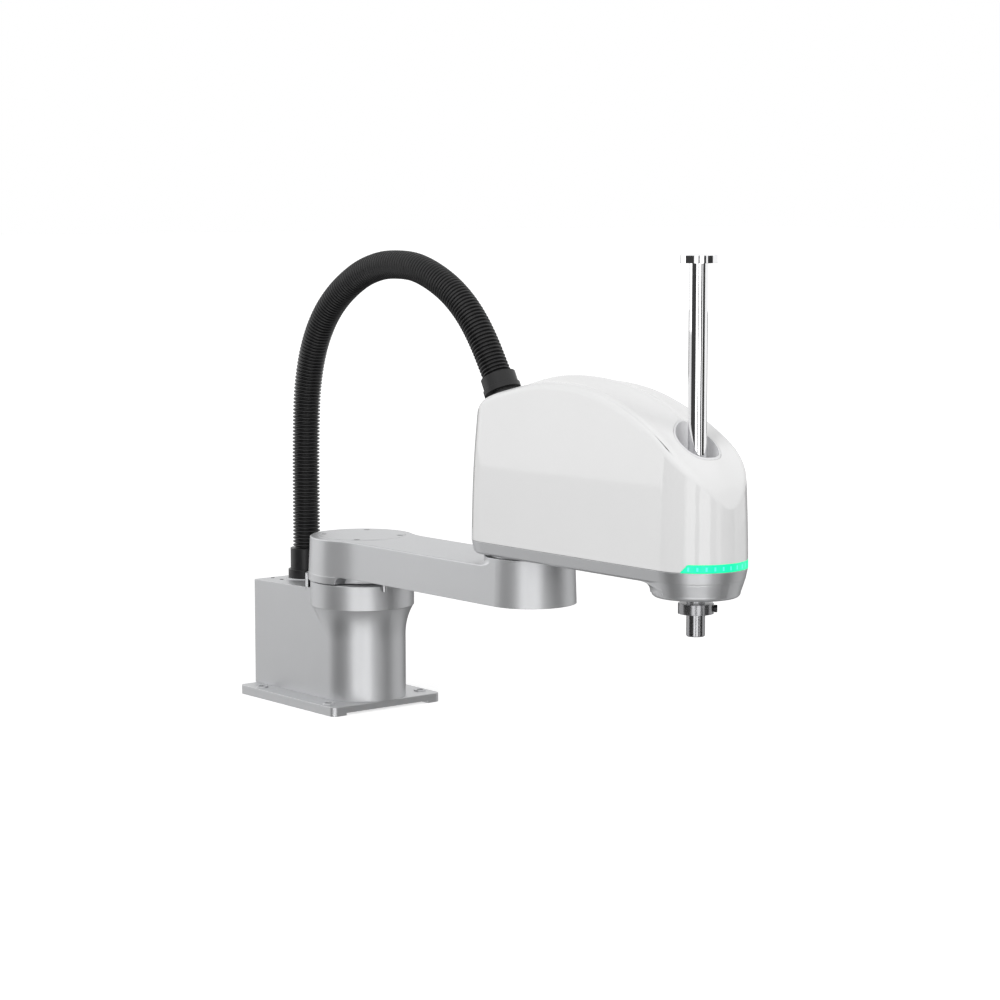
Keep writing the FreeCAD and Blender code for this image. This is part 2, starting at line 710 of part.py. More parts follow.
# Status light: translucent strip let into the lower edge of the cover round the nose
def strip_sector(gap):
    ring = Part.makeCylinder(arm2_half_w + gap, strip_h + 2 * gap, V(0, 0, cover_foot - gap), V(0, 0, 1),
                             2 * strip_angle_low)
    ring = ring.cut(cyl(arm2_half_w - strip_t - gap, 0, cover_foot + strip_h + past))
    ring.rotate(V(0, 0, 0), V(0, 0, 1), -strip_angle_low)
    slant = math.degrees(math.atan(math.radians(strip_angle_low - strip_angle_top) * arm2_half_w / strip_h))
    reach = 4 * strip_h
    for side in (-1, 1):
        corner = slab(arm2_half_w / 2, arm2_half_w + reach, gap, reach, -reach, reach)
        corner.rotate(V(0, 0, 0), V(1, 0, 0), slant)
        corner.rotate(V(0, 0, 0), V(0, 0, 1), strip_angle_low)
        corner.translate(V(0, 0, cover_foot))
        ring = ring.cut(corner if side > 0 else corner.mirror(V(0, 0, 0), V(0, 1, 0)))
    ring.translate(V(j3_x, 0, 0))
    return ring


save("light_strip", strip_sector(0.0))

# Moulded cover: drafted walls on the casting's plan under a crowned, sloping top
cover_ridge = [(arm1_length + x, casting_z1 + z) for x, z in cover_ridge_rear]
cover_ridge += [(j3_x + x, casting_z1 + z) for x, z in cover_ridge_front]


def crown_section(y, lift, skin):
    """The top's long section at one y: the ridge line, lifted between its ends and set in by the skin."""
    points = []
    for x, z in cover_ridge:
        rise = max(0.0, x - arm1_length - crown_from) / crown_run
        share = min(1.0, rise, (cover_ridge[-1][0] - x) / crown_run)
        inward = skin if x < arm1_length - steep_rear else -skin if x > j3_x + steep_front else 0.0
        points.append(V(x + inward, y, z - skin + lift * share))
    top = Part.BSplineCurve()
    top.interpolate(points)
    low = casting_z1 - past
    first = points[0]
    last = points[-1]
    return Part.Wire([top.toShape(), Part.makeLine(last, V(last.x, y, low)),
                      Part.makeLine(V(last.x, y, low), V(first.x, y, low)),
                      Part.makeLine(V(first.x, y, low), first)])


def cover_body(skin):
    walls = [arm2_plan(skin, cover_foot)] + [arm2_plan(inset + skin, casting_z1 + z) for inset, z in cover_wall]
    half = [(crown_half_w, -shoulder_drop), (ridge_y, 0.0), (valley_y, -valley_depth)]
    lifts = half + [(0.0, crown_rise)] + [(-y, lift) for y, lift in reversed(half)]
    crown = Part.makeLoft([crown_section(y, lift, skin) for y, lift in lifts], True, False)
    return Part.makeLoft(walls, True, False).common(crown)


# The conduit's route: an arch from the base gland over joint 1 to the gland on arm 2, in the plane
# y = 0. Its two lengths meet face to face at the crown.
conduit_lower_route = [(-119.0, 171.0), (-119.0, 228.0), (-118.9, 298.0), (-117.6, 364.0), (-114.1, 397.0),
                       (-106.5, 427.0), (-93.1, 455.6), (-74.5, 481.6), (-51.5, 503.9), (-25.0, 521.8),
                       (4.2, 534.9), (33.2, 542.5), (58.0, 545.3), (77.5, 545.3)]
conduit_upper_route = [(77.5, 545.3), (97.0, 545.3), (123.5, 542.3), (153.0, 534.4), (181.6, 521.2),
                       (207.5, 503.2), (229.0, 481.6), (246.3, 457.2), (260.0, 434.0), (272.2, 411.0)]
bend_share = 0.45


def conduit(name, route):
    points = [V(x, 0, z) for x, z in route]
    runs = [b.sub(a) for a, b in zip(points, points[1:])]
    edges = []
    radii = []
    here = points[0]
    for corner, before, after in zip(points[1:], runs, runs[1:]):
        half_turn = before.getAngle(after) / 2
        cut = bend_share * min(before.Length, after.Length)
        radius = cut / math.tan(half_turn)
        radii.append(round(radius))
        arc_start = corner - before * (cut / before.Length)
        arc_end = corner + after * (cut / after.Length)
        inward = arc_start + arc_end - corner * 2
        middle = corner + inward * (radius * (1 / math.cos(half_turn) - 1) / inward.Length)
        edges.append(Part.LineSegment(here, arc_start).toShape())
        edges.append(Part.Arc(arc_start, middle, arc_end).toShape())
        here = arc_end
    edges.append(Part.LineSegment(here, points[-1]).toShape())
    path = Part.Wire(edges)
    ring = Part.Wire([Part.Circle(points[0], runs[0], conduit_r).toShape()])
    body = path.makePipeShell([ring], True, True)
    print(name, "length", round(path.Length, 1), "radii", radii,
          "volume ratio", round(body.Volume / (math.pi * conduit_r ** 2 * path.Length), 5))
    save(name, body)


conduit("conduit_lower", conduit_lower_route)
conduit("conduit_upper", conduit_upper_route)

# Arm gland: flange, sleeve and socket on the conduit's last run, sunk into the cover's rear shoulder
gland_at = V(conduit_upper_route[-1][0], 0, conduit_upper_route[-1][1])
gland_tilt = math.degrees(math.atan2(conduit_upper_route[-2][0] - conduit_upper_route[-1][0],
                                     conduit_upper_route[-2][1] - conduit_upper_route[-1][1]))


def on_gland_axis(shape):
    shape.rotate(V(0, 0, 0), V(0, 1, 0), gland_tilt)
    shape.translate(gland_at)
    return shape


arm_gland_low = gland_socket_depth - arm_gland_l
arm_flange_r = gland_sleeve_r + arm_gland_flange
arm_gland = cyl(gland_sleeve_r, arm_gland_low, gland_socket_depth).fuse(
    cyl(gland_neck_r, arm_gland_low - arm_gland_neck_l, arm_gland_low + past))
arm_gland = arm_gland.fuse(cyl(arm_flange_r, arm_gland_low, arm_gland_low + arm_gland_flange_t))
arm_gland = arm_gland.cut(cyl(conduit_r + wall_gap, 0, gland_socket_depth + past))
arm_gland = arm_gland.cut(cyl(gland_bore_r, arm_gland_low - arm_gland_neck_l - past, past)).removeSplitter()
save("arm_gland", on_gland_axis(arm_gland))

# Cover shell, with the shaft well, the gland's seat and the light's recess
cover_outer = cover_body(0.0)
long_edges = [e for e in cover_outer.Edges if e.BoundBox.ZMin > casting_z1 + cover_edge_above and
              e.Length > arm2_rear_corner_r / 2]
rounded_outer = cover_outer.makeFillet(cover_edge_r, long_edges)
hollow_foot = Part.Face(arm2_plan(cover_t, cover_foot - past)).extrude(V(0, 0, past))
cover = rounded_outer.cut(cover_body(cover_t).fuse(hollow_foot))
well_floor_z = casting_z1 + well_floor_h
well_top_z = casting_z1 + well_top_h
cover = cover.cut(cyl(well_r, well_floor_z - wall_gap, well_top_z, j3_x))
cover = cover.cut(on_gland_axis(cyl(arm_flange_r + wall_gap, arm_gland_low, 3 * arm_gland_l)))
cover = cover.cut(on_gland_axis(cyl(
    gland_neck_r + wall_gap, arm_gland_low - arm_gland_l, arm_gland_low + past)))
cover = cover.cut(strip_sector(wall_gap))
save("cover", cover)
sleeve = tube(well_r - wall_gap, well_bore_r, well_floor_z, well_top_z, j3_x).common(rounded_outer)
sleeve_floor = tube(well_r - wall_gap, well_floor_hole_r, well_floor_z, well_floor_z + well_floor_t, j3_x)
save("shaft_well_sleeve", sleeve.fuse(sleeve_floor).removeSplitter())

# Drives inside arm 2: the joint 2 motor on the deck, the lift motor under the bracket and the turn
# motor on it, with toothed belts to the ball nut and the spline nut on the shaft
z_motor_x = arm1_length + z_motor_offset
j4_motor_x = j3_x - j4_belt_reach
bracket_z0 = casting_z1 + bracket_rise
bracket_z1 = bracket_z0 + bracket_t
z_pulley_z0 = bracket_z1 + z_pulley_rise
z_pulley_z1 = z_pulley_z0 + pulley_w
j4_pulley_z0 = casting_z1 + j4_pulley_rise
j4_pulley_z1 = j4_pulley_z0 + pulley_w
ball_bearing_r = ball_nut_r + ball_bearing_wall
save("j2_motor", motor(arm1_length, motor_side, casting_z1, casting_z1 + j2_motor_l, False, pilot_r,
                       casting_z1 - pilot_h, motor_shaft_r, casting_z1 - pilot_h))
post_places = [(x, y) for x in (z_motor_x - bracket_post_rear, j3_x - bracket_post_front)
               for y in (-bracket_post_y, bracket_post_y)]
bracket = rounded_slab(z_motor_x - bracket_rear, j3_x + bracket_front, -bracket_half_w, bracket_half_w,
                       bracket_z0, bracket_z1, bracket_corner_r)
bracket = bracket.fuse(each_at(post_places, lambda x, y: cyl(bracket_post_r, casting_z1, bracket_z0, x, y)))
for r, x in ((ball_bearing_r, j3_x), (z_motor_pilot_r, z_motor_x), (j4_motor_pilot_r, j4_motor_x)):
    bracket = bracket.cut(cyl(r + fit, bracket_z0 - past, bracket_z1 + past, x))
save("motor_bracket", bracket.removeSplitter())
save("z_motor", motor(z_motor_x, motor_side, casting_z1 + z_motor_foot, bracket_z0, True, z_motor_pilot_r,
                      bracket_z1 - pilot_step, axle_r, z_pulley_z1 + axle_out))
save("j4_motor", motor(j4_motor_x, j4_motor_side, bracket_z1, bracket_z1 + j4_motor_l, False, j4_motor_pilot_r,
                       bracket_z0 + pilot_step, axle_r, j4_pulley_z0 - axle_out))


def pulley(r, bore, z0, z1, x):
    """Toothed-belt pulley: rim between two thin flanges."""
    body = tube(r, bore, z0, z1, x)
    for z in (z0, z1 - pulley_flange_t):
        body = body.fuse(tube(r + pulley_flange, bore, z, z + pulley_flange_t, x))
    return body.removeSplitter()


def belt(x0, r0, x1, r1, z0, z1):
    def loop(extra):
        lean = (r1 - r0) / (x1 - x0)
        run = math.sqrt(1 - lean * lean)
        a = r0 + extra
        b = r1 + extra
        return outline((x0 - lean * a, run * a), ((x0 - a, 0), (x0 - lean * a, -run * a)),
                       (x1 - lean * b, -run * b), ((x1 + b, 0), (x1 - lean * b, run * b)), at=flat_wire(z0))

    band = Part.Face(loop(belt_t + fit)).extrude(V(0, 0, z1 - z0))
    return band.cut(Part.Face(loop(fit)).extrude(V(0, 0, z1 - z0)))


belt_in = pulley_flange_t + belt_side_gap
save("z_motor_pulley", pulley(z_pulley_r, axle_r + fit, z_pulley_z0, z_pulley_z1, z_motor_x))
save("z_belt", belt(z_motor_x, z_pulley_r, j3_x, z_pulley_r, z_pulley_z0 + belt_in, z_pulley_z1 - belt_in))
save("j4_motor_pulley", pulley(j4_pulley_r, axle_r + fit, j4_pulley_z0, j4_pulley_z1, j4_motor_x))
save("j4_belt", belt(
    j4_motor_x, j4_pulley_r, j3_x, spline_pulley_r, j4_pulley_z0 + belt_in, j4_pulley_z1 - belt_in))
nut_z0 = nose_z0 + seal_depth
save("spline_bearing", tube(bearing_r, spline_nut_r + fit, nut_z0, nut_z0 + spline_nut_l - bearing_step, j3_x))
spline_nut = cyl(spline_nut_r, nut_z0, nut_z0 + spline_nut_l, j3_x)
spline_nut = spline_nut.fuse(cyl(spline_neck_r, nut_z0, j4_pulley_z1 + spline_neck_over, j3_x))
save("spline_nut", spline_nut.cut(cyl(
    shaft_r + fit, nut_z0 - past, j4_pulley_z1 + spline_neck_over + past, j3_x)).removeSplitter())
save("spline_pulley", pulley(spline_pulley_r, spline_neck_r + fit, j4_pulley_z0, j4_pulley_z1, j3_x))
save("ball_nut", tube(ball_nut_r, shaft_r + fit, j4_pulley_z1 + ball_nut_gap, z_pulley_z1 + ball_nut_top, j3_x))
save("ball_nut_pulley", pulley(z_pulley_r, ball_nut_r + fit, z_pulley_z0, z_pulley_z1, j3_x))
save("ball_nut_bearing", tube(ball_bearing_r, ball_nut_r + fit, bracket_z0 - ball_bearing_below,
                              bracket_z1 + ball_bearing_above, j3_x))
save("shaft_seal", tube(seal_r, shaft_r + wall_gap, nose_z0 + seal_step, nose_z0 + seal_step + seal_t, j3_x))

# Shaft: ball-screw spline shaft with a stop collar at the top, and a clamp collar below that rests
# on a fine groove, over the plain end that takes the tool
shaft_bottom_z = nose_z0 - shaft_below_nose
lower_collar_z0 = nose_z0 - lower_collar_drop
lower_collar_z1 = lower_collar_z0 + lower_collar_h
shaft = cyl(shaft_r, shaft_bottom_z, shaft_top_z - top_collar_lip, j3_x)
shaft = shaft.makeChamfer(shaft_edge, [e for e in shaft.Edges if abs(e.CenterOfMass.z - shaft_bottom_z) < fit])
groove = tube(shaft_r + past, shaft_r - shaft_groove_depth,
              lower_collar_z0 - shaft_groove_w, lower_collar_z0, j3_x)
save("shaft", shaft.cut(groove))
top_collar_z0 = shaft_top_z - top_collar_h
top_collar = cyl(collar_r, top_collar_z0, shaft_top_z, j3_x)
top_collar = top_collar.makeChamfer(
    shaft_edge, [e for e in top_collar.Edges if abs(e.CenterOfMass.z - shaft_top_z) < fit])
save("top_stop_collar", top_collar.cut(cyl(
    shaft_r + fit, top_collar_z0 - past, shaft_top_z - top_collar_lip, j3_x)))


def toward_screw(shape):
    shape.rotate(V(0, 0, 0), V(0, 0, 1), collar_screw_angle)
    shape.translate(V(j3_x, 0, 0))
    return shape


screw_z = (lower_collar_z0 + lower_collar_z1) / 2
lower_collar = tube(lower_collar_r, shaft_r + fit, lower_collar_z0, lower_collar_z1)
lower_collar = lower_collar.cut(along_x(collar_screw_r + fit, 0, lower_collar_r + past, 0, screw_z))
save("lower_collar", toward_screw(lower_collar))
collar_screw = along_x(collar_screw_r, shaft_r + wall_gap, lower_collar_r + wall_gap, 0, screw_z)
collar_screw = collar_screw.fuse(along_x(
    collar_screw_head_r, lower_collar_r + wall_gap, lower_collar_r + wall_gap + collar_screw_head_t, 0, screw_z))
save("collar_screws", toward_screw(collar_screw))
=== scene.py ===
import math

import bpy
from mathutils import Matrix, Vector


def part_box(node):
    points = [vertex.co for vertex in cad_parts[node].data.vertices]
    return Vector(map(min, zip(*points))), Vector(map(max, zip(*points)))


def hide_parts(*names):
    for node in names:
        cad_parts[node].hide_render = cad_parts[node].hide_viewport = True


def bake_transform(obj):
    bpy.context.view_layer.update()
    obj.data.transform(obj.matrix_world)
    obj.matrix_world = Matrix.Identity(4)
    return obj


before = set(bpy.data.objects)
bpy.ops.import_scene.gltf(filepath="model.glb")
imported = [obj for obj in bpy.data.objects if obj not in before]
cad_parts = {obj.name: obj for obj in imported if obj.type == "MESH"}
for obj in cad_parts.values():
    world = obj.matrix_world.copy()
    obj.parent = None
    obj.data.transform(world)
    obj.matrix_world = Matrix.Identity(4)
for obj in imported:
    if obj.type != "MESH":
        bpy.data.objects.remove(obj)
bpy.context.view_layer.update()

# The photographer's camera: a long lens a little above the arm's height, off the robot's
# right front corner, looking slightly down along both arms.
look_azimuth = math.radians(50.88)
look_down = math.radians(6.65)
sensor_width = 36.0
focal_in_image_widths = 2.6656
camera_place = Vector((2.641, -1.928, 0.635))
farthest_seen = 50

look = Vector((-math.sin(look_azimuth) * math.cos(look_down),
               math.cos(look_azimuth) * math.cos(look_down),
               -math.sin(look_down)))
right = Vector((math.cos(look_azimuth), math.sin(look_azimuth), 0))
up = right.cross(look)
camera_data = bpy.data.cameras.new("camera")
camera_data.sensor_fit = "HORIZONTAL"
camera_data.sensor_width = sensor_width
camera_data.lens = sensor_width * focal_in_image_widths
camera_data.clip_end = farthest_seen
camera = bpy.data.objects.new("camera", camera_data)
camera.matrix_world = (Matrix.Translation(camera_place)
                       @ Matrix((right, up, -look)).transposed().to_4x4())
bpy.context.scene.collection.objects.link(camera)
bpy.context.scene.camera = camera
bpy.context.scene.view_settings.view_transform = "Standard"


# Foot plate, base, both arms and the cap over joint 1: sand-cast aluminium, machined at the
# joints and the foot, then sprayed satin silver. They bolt together through the reducers.
class Socket:
    """A shader output that is used in Python sums; each operator adds its Math node."""

    def __init__(self, tree, output=None):
        self.tree = tree
        self.output = output

    def feed(self, target, value):
        """Links an input to another socket, or sets it to a plain value."""
        if isinstance(value, Socket):
            self.tree.links.new(value.output, target)
        else:
            target.default_value = value

    def node(self, kind, settings, inputs, output=0):
        """Any node: its type, its settings, its inputs' values or links, and the output or outputs taken."""
        made = self.tree.nodes.new(kind)
        for name, value in settings.items():
            setattr(made, name, value)
        for name, value in inputs.items():
            self.feed(made.inputs[name], value)
        if isinstance(output, tuple):
            return [Socket(self.tree, made.outputs[name]) for name in output]
        return Socket(self.tree, made.outputs[output])

    def math(self, operation, a, b, clamp=False):
        return self.node("ShaderNodeMath", {"operation": operation, "use_clamp": clamp}, {0: a, 1: b})

    def __add__(self, other):
        return self.math("ADD", self, other)

    __radd__ = __add__

    def __sub__(self, other):
        return self.math("SUBTRACT", self, other)

    def __rsub__(self, other):
        return self.math("SUBTRACT", other, self)

    def __mul__(self, other):
        return self.math("MULTIPLY", self, other)

    __rmul__ = __mul__

    def __gt__(self, other):
        return self.math("GREATER_THAN", self, other)

    def __lt__(self, other):
        return self.math("LESS_THAN", self, other)

    def clamped(self):
        return self.math("ADD", self, 0.0, clamp=True)

    def spread(self, low, high):
        """The value mapped from 0..1 to low..high."""
        return self * (high - low) + low


def blend_colours(place, factor, dark, light):
    """Two colours mixed by a factor; each is a plain colour or another blend."""
    ends = [colour if isinstance(colour, Socket) else (*colour, 1) for colour in (dark, light)]
    return place.node("ShaderNodeMix", {"data_type": "RGBA"}, {0: factor, 6: ends[0], 7: ends[1]}, output=2)


def noise(place, waves, detail=3.0):
    """Soft noise from 0 to 1, with so many waves to the metre."""
    return place.node("ShaderNodeTexNoise", {},
                      {"Vector": place, "Scale": waves, "Detail": detail, "Roughness": 0.55})


def plain_material(name, colour, metallic=0.0, roughness=0.5, specular=0.5):
    """A Principled material, its shader, and a socket with each point's place on the object."""
    material = bpy.data.materials.new(name)
    material.use_nodes = True
    shader = material.node_tree.nodes["Principled BSDF"]
    shader.inputs["Base Color"].default_value = (*colour, 1)
    shader.inputs["Metallic"].default_value = metallic
    shader.inputs["Roughness"].default_value = roughness
    shader.inputs["Specular IOR Level"].default_value = specular
    place = Socket(material.node_tree).node("ShaderNodeTexCoord", {}, {}, output="Object")
    return material, shader, place


def finish_material(name, dark, light, mottle, roughness, grain, metallic=0.0, specular=0.5, detail=3.0):
    """A finish whose colour drifts from dark to light with the mottle, and its roughness with the grain."""
    middle = [(low + high) / 2 for low, high in zip(dark, light)]
    material, shader, place = plain_material(name, middle, metallic, sum(roughness) / 2, specular)
    place.feed(shader.inputs["Base Color"], blend_colours(place, noise(place, mottle, detail), dark, light))
    place.feed(shader.inputs["Roughness"], noise(place, grain).spread(*roughness))
    return material, shader, place


def soft_edges(place, radius):
    return place.node("ShaderNodeBevel", {"samples": 6}, {"Radius": radius})


def skin(place, waves, depth, strength, detail=3.0, edge=0.0):
    """The normal of a finely uneven skin, drawn over rounded edges where an edge radius is given."""
    inputs = {"Height": noise(place, waves, detail), "Distance": depth, "Strength": strength}
    if edge:
        inputs["Normal"] = soft_edges(place, edge)
    return place.node("ShaderNodeBump", {}, inputs)


def carry(material, *names):
    """Gives CAD nodes a material in place of their plain one."""
    for name in names:
        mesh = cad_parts[name].data
        mesh.materials.clear()
        mesh.materials.append(material)
        if mesh.polygons:
            mesh.polygons.foreach_set("material_index", [0] * len(mesh.polygons))


silver_paint, shader, place = finish_material(
    "silver_paint", dark=(0.54, 0.545, 0.555), light=(0.57, 0.575, 0.585), mottle=18.0,
    roughness=(0.38, 0.46), grain=400.0, metallic=0.9, detail=4.0)
place.feed(shader.inputs["Normal"],
           skin(place, waves=1100.0, depth=0.0001, strength=0.35, detail=2.0, edge=0.0011))
carry(silver_paint, "base_plate", "base_casting", "arm_1", "arm1_cap", "arm_2_casting")

# Drives: turned steel hubs, pins, nuts, bearings and pulleys in bored seats, milled aluminium
# reducer housings and motor bracket, and the plain rear panel with its air fittings.
turned_steel, shader, place = finish_material(
    "turned_steel", dark=(0.45, 0.45, 0.46), light=(0.56, 0.56, 0.57), mottle=60.0,
    roughness=(0.24, 0.38), grain=500.0, metallic=1.0)
carry(turned_steel, "j1_output_hub", "j2_output_hub", "j1_reducer_housing", "j2_reducer_housing",
      "j1_stop_pins", "j2_stop_pin", "spline_nut", "ball_nut", "spline_bearing", "ball_nut_bearing",
      "motor_bracket", "spline_pulley", "ball_nut_pulley", "z_motor_pulley", "j4_motor_pulley",
      "rear_panel", "air_fittings")

# Screws and motors: steel socket screws with a black oxide finish, let into their faces, and
# motors in black coated bodies that hang on the reducers and the bracket.
black_oxide, shader, place = finish_material(
    "black_oxide", dark=(0.02, 0.02, 0.022), light=(0.05, 0.05, 0.052), mottle=90.0,
    roughness=(0.34, 0.48), grain=300.0, metallic=0.8)
carry(black_oxide, "box_top_screws", "panel_screws", "arm1_cap_screws", "cover_screws", "collar_screws",
      "j1_motor", "j2_motor", "z_motor", "j4_motor")

# Glands, connectors, seal and belts: black moulded plastic and rubber. The glands clamp the
# conduit's ends on the base and on the cover, and the connectors stand in the rear panel.
gland_black, shader, place = finish_material(
    "gland_black", dark=(0.006, 0.006, 0.0065), light=(0.011, 0.011, 0.0115), mottle=50.0,
    roughness=(0.3, 0.45), grain=200.0, specular=0.4)
place.feed(shader.inputs["Normal"], skin(place, waves=1200.0, depth=0.0001, strength=0.25, edge=0.0008))
carry(gland_black, "base_gland", "base_gland_nut", "arm_gland", "power_connector", "signal_connector",
      "user_connector", "shaft_seal", "z_belt", "j4_belt")

# Cover of arm 2: one glossy white moulded shell with rounded rims. It drops over the casting's
# rebate, and screws from under the casting hold it.
white_gloss, shader, place = finish_material(
    "white_gloss", dark=(0.79, 0.79, 0.79), light=(0.82, 0.82, 0.82), mottle=9.0,
    roughness=(0.03, 0.07), grain=60.0)
place.feed(shader.inputs["Normal"],
           skin(place, waves=900.0, depth=0.00002, strength=0.1, detail=2.0, edge=0.0008))
carry(white_gloss, "cover")

# Sleeve of the shaft well: pale grey moulded plastic with a matt skin, pressed into the cover
# round the shaft.
pale_plastic, shader, place = finish_material(
    "pale_plastic", dark=(0.74, 0.74, 0.75), light=(0.79, 0.79, 0.80), mottle=40.0,
    roughness=(0.30, 0.42), grain=150.0)
place.feed(shader.inputs["Normal"], skin(place, waves=900.0, depth=0.00006, strength=0.3))
carry(pale_plastic, "shaft_well_sleeve")

# Shaft and its top collar: steel, hard chromed and ground bright above the arm, and plain
# ground steel on the end that takes the tool. It slides and turns in its two nuts.
chrome_dark, chrome_light = (0.88, 0.88, 0.89), (0.93, 0.93, 0.94)
ground_dark, ground_light = (0.34, 0.34, 0.35), (0.39, 0.39, 0.40)
chrome_roughness = (0.015, 0.035)
ground_rougher_by = 0.18

hard_chrome, shader, place = plain_material("hard_chrome", chrome_light, metallic=1.0, roughness=0.03)
height = place.node("ShaderNodeSeparateXYZ", {}, {"Vector": place}, output="Z")
plain_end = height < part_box("arm_2_casting")[0].z
plating = blend_colours(place, noise(place, 30.0), chrome_dark, chrome_light)
ground = blend_colours(place, noise(place, 60.0), ground_dark, ground_light)
place.feed(shader.inputs["Base Color"], blend_colours(place, plain_end, plating, ground))
place.feed(shader.inputs["Roughness"],
           noise(place, 300.0).spread(*chrome_roughness) + plain_end * ground_rougher_by)
place.feed(shader.inputs["Normal"], soft_edges(place, 0.0005))
carry(hard_chrome, "shaft", "top_stop_collar")

# Lower collar: a split ring of turned steel, left bright, that one screw clamps on the shaft
# just under the arm's nose.
collar_steel, shader, place = finish_material(
    "collar_steel", dark=(0.31, 0.31, 0.32), light=(0.36, 0.36, 0.37), mottle=60.0,
    roughness=(0.18, 0.26), grain=400.0, metallic=0.9)
place.feed(shader.inputs["Normal"], soft_edges(place, 0.0006))
carry(collar_steel, "lower_collar")

# Status light: a translucent strip round the nose, glowing green, set in the seam between the
# cover and the casting. A short paler bar crosses it every ten degrees.
bar_every = 10.0
bar_first = 2.0
bar_half_angle = 1.1
bar_foot, bar_head = 0.22, 0.74
strip_green, bar_green = (0.004, 0.78, 0.33), (0.07, 0.90, 0.50)
glow_strength = 0.8

status_green, shader, place = plain_material("status_green", strip_green, roughness=0.3)
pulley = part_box("spline_pulley")
nose_x = (pulley[0].x + pulley[1].x) / 2
strip_low, strip_high = (corner.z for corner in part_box("light_strip"))
x, y, z = place.node("ShaderNodeSeparateXYZ", {}, {"Vector": place}, output=("X", "Y", "Z"))
angle = place.math("ARCTAN2", y, x - nose_x) * math.degrees(1)
beside_bar = place.math("PINGPONG", angle + bar_first, bar_every / 2)
rise = (z - strip_low) * (1 / (strip_high - strip_low))
bar = (beside_bar < bar_half_angle) * (rise > bar_foot) * (rise < bar_head)
light_colour = blend_colours(place, bar, strip_green, bar_green)
place.feed(shader.inputs["Base Color"], light_colour)
place.feed(shader.inputs["Emission Color"], light_colour)
shader.inputs["Emission Strength"].default_value = glow_strength
carry(status_green, "light_strip")

# Corrugated cable conduit: black ribbed nylon hose that stands in the base gland, arches over
# joint 1 and comes down to arm 2. Two lengths meet at the crown, each spanning one joint.
conduit_radius = 0.0172
groove_depth = 0.0030
rib_pitch = 0.0045
conduit_sides = 36
# One rib and its groove: shares of the pitch, and how deep the wall lies there, 1 at the bottom
rib_shape = [(0.0, 1.0), (0.16, 0.85), (0.26, 0.3), (0.38, 0.05),
             (0.5, 0.0), (0.62, 0.05), (0.74, 0.3), (0.84, 0.85)]
lower_route = [(-0.1190, 0.171), (-0.1190, 0.228), (-0.1190, 0.298), (-0.1168, 0.364), (-0.1122, 0.397),
               (-0.1030, 0.430), (-0.0893, 0.4585), (-0.0705, 0.4835), (-0.0475, 0.504), (-0.0225, 0.520),
               (0.0052, 0.5335), (0.0332, 0.5415), (0.0580, 0.5453), (0.0775, 0.5453)]
upper_route = [(0.0775, 0.5453), (0.0970, 0.5453), (0.1225, 0.541), (0.1520, 0.531), (0.1800, 0.5175),
               (0.2055, 0.4995), (0.2265, 0.4785), (0.2440, 0.4555), (0.2585, 0.4325), (0.2722, 0.411)]

conduit_black, shader, place = finish_material(
    "conduit_black", dark=(0.005, 0.005, 0.0055), light=(0.011, 0.011, 0.0115), mottle=60.0,
    roughness=(0.24, 0.38), grain=240.0, specular=0.4)
place.feed(shader.inputs["Normal"], skin(place, waves=900.0, depth=0.0002, strength=0.35))


def spline_points(name, route):
    """Points along the NURBS spline whose control points are the route, in the plane of the arm."""
    curve = bpy.data.curves.new(name, "CURVE")
    curve.dimensions = "3D"
    curve.resolution_u = 24
    spline = curve.splines.new("NURBS")
    spline.points.add(len(route) - 1)
    for point, (x, z) in zip(spline.points, route):
        point.co = (x, 0, z, 1)
    spline.order_u = 3
    spline.use_endpoint_u = True
    holder = bpy.data.objects.new(name, curve)
    bpy.context.scene.collection.objects.link(holder)
    mesh = bpy.data.meshes.new_from_object(holder)
    points = [vertex.co.copy() for vertex in mesh.vertices]
    bpy.data.objects.remove(holder)
    bpy.data.meshes.remove(mesh)
    return points


def point_along(points, reach):
    """The point and direction at a distance along a line of points."""
    for a, b in zip(points, points[1:]):
        step = (b - a).length
        if reach <= step or b is points[-1]:
            return a + (b - a) * (reach / step), (b - a).normalized()
        reach -= step


def new_piece(name, vertices, faces, material, smooth=True):
    mesh = bpy.data.meshes.new(name)
    mesh.from_pydata([tuple(v) for v in vertices], [], faces)
    mesh.validate()
    mesh.polygons.foreach_set("use_smooth", [smooth] * len(mesh.polygons))
    mesh.materials.append(material)
    piece = bpy.data.objects.new(name, mesh)
    bpy.context.scene.collection.objects.link(piece)
    return piece


def ribbed_hose(name, points):
    """The hose along a line of points, as rings that follow the ribs, and its length."""
    length = sum((b - a).length for a, b in zip(points, points[1:]))
    ribs = round(length / rib_pitch)
    pitch = length / ribs
    rings = [(i * pitch + share * pitch, conduit_radius - groove_depth * depth)
             for i in range(ribs) for share, depth in rib_shape]
    rings.append((length, conduit_radius - groove_depth))
    vertices = []
    for reach, radius in rings:
        centre, ahead = point_along(points, reach)
        side = Vector((0, 1, 0))
        out = side.cross(ahead)
        for k in range(conduit_sides):
            turn = 2 * math.pi * k / conduit_sides
            vertices.append(centre + (side * math.cos(turn) + out * math.sin(turn)) * radius)
    faces = []
    for i in range(len(rings) - 1):
        for k in range(conduit_sides):
            a = i * conduit_sides + k
            b = i * conduit_sides + (k + 1) % conduit_sides
            faces.append((a, b, b + conduit_sides, a + conduit_sides))
    return new_piece(name, vertices, faces, conduit_black), length


for hose_name, node, route, bodies in (
        ("lower_hose", "conduit_lower", lower_route, ("base", "arm_1_body")),
        ("upper_hose", "conduit_upper", upper_route, ("arm_1_body", "arm_2_body"))):
    line = spline_points(hose_name + "_line", route)
    hose, hose_length = ribbed_hose(hose_name, line)
    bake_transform(hose)
    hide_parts(node)

